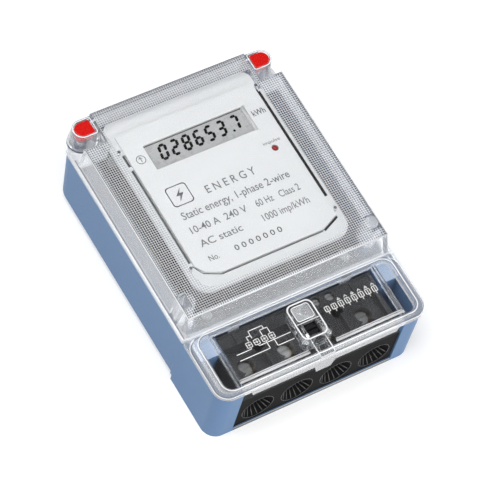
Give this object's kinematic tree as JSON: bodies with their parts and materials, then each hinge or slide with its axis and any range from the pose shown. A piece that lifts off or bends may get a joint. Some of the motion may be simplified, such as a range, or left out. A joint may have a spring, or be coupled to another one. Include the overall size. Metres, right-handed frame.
{
  "type": "electricity meter",
  "caption": "Board-mounted single-phase electronic electricity meter with a clear front cover, a display behind it, a clear terminal cover and sealed cover screws.",
  "frame": {"origin": "centre of the footprint, on the plane of the mounting board behind the meter", "axes": "+X to the right as the face is read, +Y towards the hanger end, +Z out of the face"},
  "size_m": [0.112, 0.1526, 0.0505],
  "materials": {
    "housing_plastic": "fine matt texture, blue-grey",
    "clear_polycarbonate": "clear polished",
    "gasket_rubber": "matt, light grey",
    "seal_screw_plastic": "satin black",
    "seal_plastic": "satin red",
    "zinc_steel": "zinc plated",
    "nickel_steel": "nickel plated",
    "nameplate_plastic": "satin white",
    "display_glass": "grey polariser",
    "elastomer": "striped silicone",
    "led_epoxy": "tinted clear red",
    "black_plastic": "moulded black",
    "circuit_board": "black solder mask",
    "crystal_can": "drawn steel can",
    "capacitor_yellow": "moulded yellow",
    "capacitor_sleeve": "shrink sleeve",
    "varistor_blue": "dipped epoxy",
    "opto_white": "moulded white",
    "resistor_body": "lacquered",
    "terminal_plastic": "moulded black",
    "brass": "machined",
    "copper": "copper strip",
    "manganin": "dull alloy strip",
    "lead_insulation": "insulated wire"
  },
  "bodies": {
    "housing": {"base_shell": "housing_plastic", "front_cover": "clear_polycarbonate", "cover_gasket": "gasket_rubber", "nameplate": "nameplate_plastic", "lcd_glass": "display_glass", "lcd_holder": "nameplate_plastic", "lcd_connectors": "elastomer", "pulse_led": "led_epoxy", "led_spacer": "black_plastic", "main_board": "circuit_board", "board_screws": "zinc_steel", "metering_chip": "black_plastic", "controller_chip": "black_plastic", "crystal": "crystal_can", "x_capacitor": "capacitor_yellow", "electrolytic_capacitors": "capacitor_sleeve", "varistor": "varistor_blue", "optocoupler": "opto_white", "dropper_resistors": "resistor_body", "terminal_block": "terminal_plastic", "terminal_1": "brass", "terminal_2": "brass", "terminal_3": "brass", "terminal_4": "brass", "aux_contacts": "brass", "block_screws": "zinc_steel", "shunt": "copper", "shunt_bar": "manganin", "neutral_link": "copper", "sense_leads": "lead_insulation"},
    "terminal_cover": {"terminal_cover": "clear_polycarbonate"},
    "seal_cap_left": {"seal_cap_left": "seal_plastic"},
    "seal_cap_right": {"seal_cap_right": "seal_plastic"},
    "hanger_plate": {"hanger_plate": "zinc_steel"},
    "terminal_cover_screw": {"terminal_cover_screw": "seal_screw_plastic"},
    "cover_screw_top_left": {"cover_screw_top_left": "zinc_steel"},
    "cover_screw_top_right": {"cover_screw_top_right": "zinc_steel"},
    "cover_screw_low_left": {"cover_screw_low_left": "zinc_steel"},
    "cover_screw_low_right": {"cover_screw_low_right": "zinc_steel"},
    "clamp_screw_1_front": {"clamp_screw_1_front": "nickel_steel"},
    "clamp_screw_1_rear": {"clamp_screw_1_rear": "nickel_steel"},
    "clamp_screw_2_front": {"clamp_screw_2_front": "nickel_steel"},
    "clamp_screw_2_rear": {"clamp_screw_2_rear": "nickel_steel"},
    "clamp_screw_3_front": {"clamp_screw_3_front": "nickel_steel"},
    "clamp_screw_3_rear": {"clamp_screw_3_rear": "nickel_steel"},
    "clamp_screw_4_front": {"clamp_screw_4_front": "nickel_steel"},
    "clamp_screw_4_rear": {"clamp_screw_4_rear": "nickel_steel"},
    "aux_screw_left": {"aux_screw_left": "nickel_steel"},
    "aux_screw_right": {"aux_screw_right": "nickel_steel"}
  },
  "joints": [
    {"name": "terminal_cover_lift", "type": "slide", "parent": "housing", "child": "terminal_cover", "axis": [0, 0, 1], "range_m": [0, 0.04]},
    {"name": "terminal_cover_screw_turn", "type": "hinge", "parent": "terminal_cover", "child": "terminal_cover_screw", "pos_m": [0, -0.0613, 0.036], "axis": [0, 0, 1], "continuous": true},
    {"name": "seal_cap_left_pull", "type": "slide", "parent": "housing", "child": "seal_cap_left", "axis": [0, 0, 1], "range_m": [0, 0.015]},
    {"name": "seal_cap_right_pull", "type": "slide", "parent": "housing", "child": "seal_cap_right", "axis": [0, 0, 1], "range_m": [0, 0.015]},
    {"name": "hanger_plate_slide", "type": "slide", "parent": "housing", "child": "hanger_plate", "axis": [0, 1, 0], "range_m": [0, 0.014]},
    {"name": "cover_screw_top_left_turn", "type": "hinge", "parent": "housing", "child": "cover_screw_top_left", "pos_m": [-0.0475, 0.07, 0.0383], "axis": [0, 0, 1], "continuous": true},
    {"name": "cover_screw_top_right_turn", "type": "hinge", "parent": "housing", "child": "cover_screw_top_right", "pos_m": [0.0475, 0.07, 0.0383], "axis": [0, 0, 1], "continuous": true},
    {"name": "cover_screw_low_left_turn", "type": "hinge", "parent": "housing", "child": "cover_screw_low_left", "pos_m": [-0.0505, -0.029, 0.0383], "axis": [0, 0, 1], "continuous": true},
    {"name": "cover_screw_low_right_turn", "type": "hinge", "parent": "housing", "child": "cover_screw_low_right", "pos_m": [0.0505, -0.029, 0.0383], "axis": [0, 0, 1], "continuous": true},
    {"name": "clamp_screw_1_front_turn", "type": "hinge", "parent": "housing", "child": "clamp_screw_1_front", "pos_m": [-0.03135, -0.0668, 0.0208], "axis": [0, 0, 1], "continuous": true},
    {"name": "clamp_screw_1_rear_turn", "type": "hinge", "parent": "housing", "child": "clamp_screw_1_rear", "pos_m": [-0.03135, -0.0598, 0.0208], "axis": [0, 0, 1], "continuous": true},
    {"name": "clamp_screw_2_front_turn", "type": "hinge", "parent": "housing", "child": "clamp_screw_2_front", "pos_m": [-0.01045, -0.0668, 0.0208], "axis": [0, 0, 1], "continuous": true},
    {"name": "clamp_screw_2_rear_turn", "type": "hinge", "parent": "housing", "child": "clamp_screw_2_rear", "pos_m": [-0.01045, -0.0598, 0.0208], "axis": [0, 0, 1], "continuous": true},
    {"name": "clamp_screw_3_front_turn", "type": "hinge", "parent": "housing", "child": "clamp_screw_3_front", "pos_m": [0.01045, -0.0668, 0.0208], "axis": [0, 0, 1], "continuous": true},
    {"name": "clamp_screw_3_rear_turn", "type": "hinge", "parent": "housing", "child": "clamp_screw_3_rear", "pos_m": [0.01045, -0.0598, 0.0208], "axis": [0, 0, 1], "continuous": true},
    {"name": "clamp_screw_4_front_turn", "type": "hinge", "parent": "housing", "child": "clamp_screw_4_front", "pos_m": [0.03135, -0.0668, 0.0208], "axis": [0, 0, 1], "continuous": true},
    {"name": "clamp_screw_4_rear_turn", "type": "hinge", "parent": "housing", "child": "clamp_screw_4_rear", "pos_m": [0.03135, -0.0598, 0.0208], "axis": [0, 0, 1], "continuous": true},
    {"name": "aux_screw_left_turn", "type": "hinge", "parent": "housing", "child": "aux_screw_left", "pos_m": [0.0119, -0.04735, 0.03], "axis": [0, 0, 1], "continuous": true},
    {"name": "aux_screw_right_turn", "type": "hinge", "parent": "housing", "child": "aux_screw_right", "pos_m": [0.0193, -0.04735, 0.03], "axis": [0, 0, 1], "continuous": true}
  ]
}
